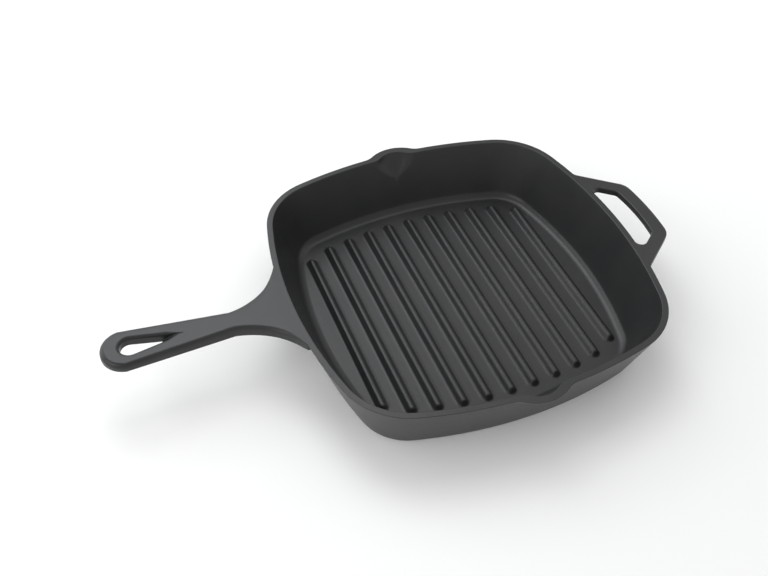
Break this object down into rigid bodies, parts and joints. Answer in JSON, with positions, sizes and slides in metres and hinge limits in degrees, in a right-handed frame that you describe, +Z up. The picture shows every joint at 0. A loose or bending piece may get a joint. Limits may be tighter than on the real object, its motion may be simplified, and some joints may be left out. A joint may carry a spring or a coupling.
{
  "type": "grill pan",
  "caption": "Square cast-iron grill pan with a ribbed floor, flared walls, opposed pour spouts, a flush long handle with a teardrop hanging eye, and a loop helper handle",
  "frame": {"origin": "centre of the pan's base, on the standing plane", "axes": "+Z up out of the pan; -X along the long handle, +X to the helper handle; the ribs run along Y and the two pour spouts are at +Y and -Y"},
  "size_m": [0.4151, 0.2738, 0.0499],
  "materials": {
    "cast_iron": "matt, fine sand-cast texture, pre-seasoned black"
  },
  "bodies": {
    "root": {"floor_plate": "cast_iron", "side_wall": "cast_iron", "pour_spout_far": "cast_iron", "pour_spout_near": "cast_iron", "long_handle": "cast_iron", "helper_handle": "cast_iron", "grill_rib_01": "cast_iron", "grill_rib_02": "cast_iron", "grill_rib_03": "cast_iron", "grill_rib_04": "cast_iron", "grill_rib_05": "cast_iron", "grill_rib_06": "cast_iron", "grill_rib_07": "cast_iron", "grill_rib_08": "cast_iron", "grill_rib_09": "cast_iron", "grill_rib_10": "cast_iron", "grill_rib_11": "cast_iron"}
  },
  "joints": []
}
